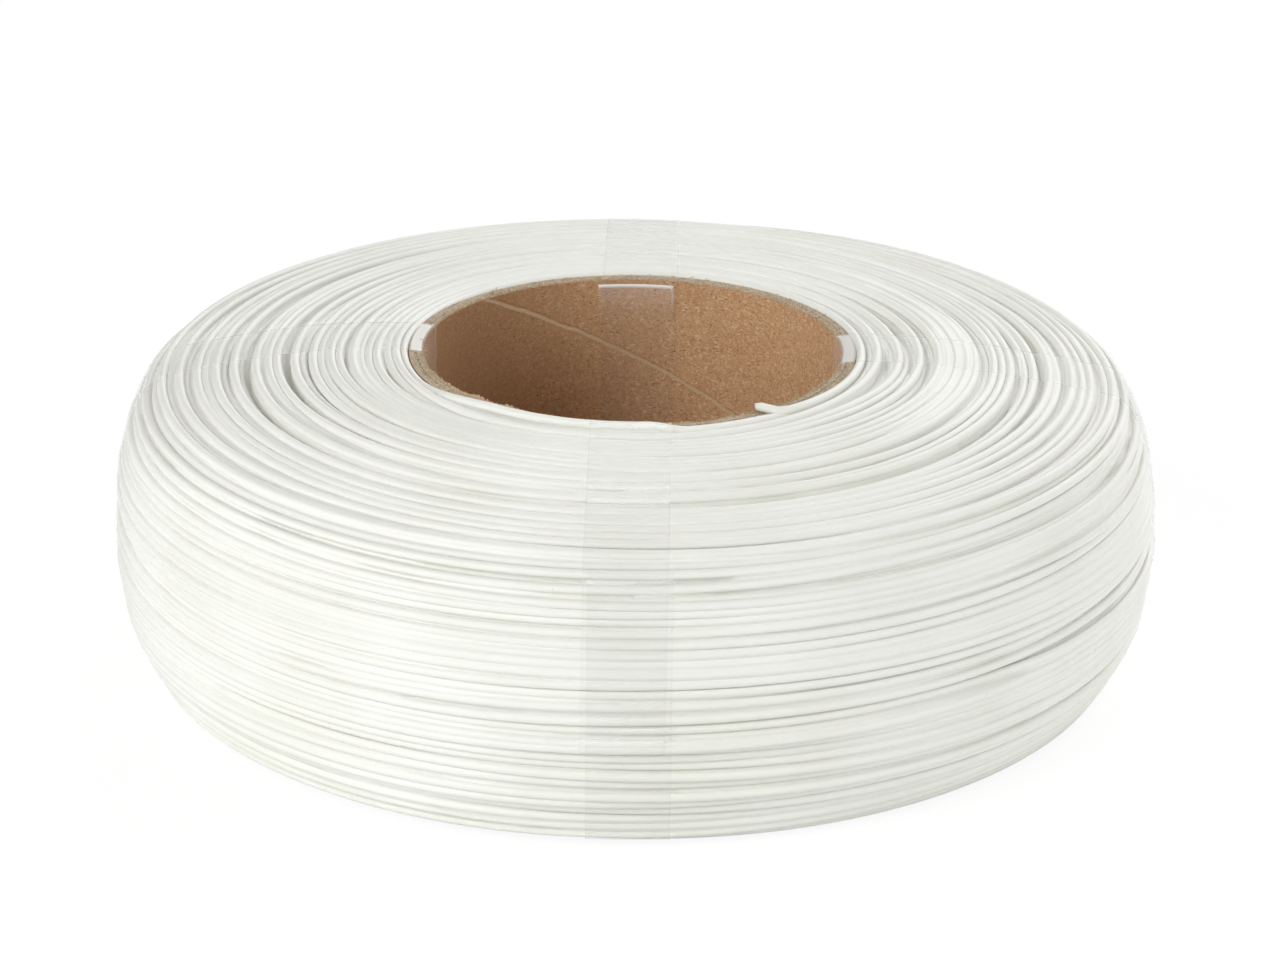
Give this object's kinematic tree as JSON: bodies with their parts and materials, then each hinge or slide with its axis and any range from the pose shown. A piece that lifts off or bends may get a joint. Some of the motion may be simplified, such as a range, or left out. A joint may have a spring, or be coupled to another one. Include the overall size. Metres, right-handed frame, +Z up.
{
  "type": "flangeless filament refill roll",
  "caption": "Flangeless roll of white printer filament wound on a cardboard core, held by clear tape bands that pass through the bore.",
  "frame": {"origin": "on the bore's axis, at the plane of the tape bands' undersides that the roll rests on", "axes": "+Z up along the bore's axis; -Y towards the band whose ends lap on the outer wall at the front; +X to the right of it"},
  "size_m": [0.2004, 0.2003, 0.06],
  "materials": {
    "kraft_liner": "matt, fibrous",
    "grey_board": "matt, fibrous",
    "filament": "satin",
    "clear_tape": "clear gloss"
  },
  "bodies": {
    "root": {"core_inner_liner": "kraft_liner", "core_ply_1": "grey_board", "core_ply_2": "grey_board", "core_ply_3": "grey_board", "core_ply_4": "grey_board", "core_outer_liner": "kraft_liner", "filament_pack": "filament", "filament_outer_layer": "filament", "filament_inner_end": "filament", "tape_front": "clear_tape", "tape_right": "clear_tape", "tape_rear": "clear_tape", "tape_left": "clear_tape"}
  },
  "joints": []
}
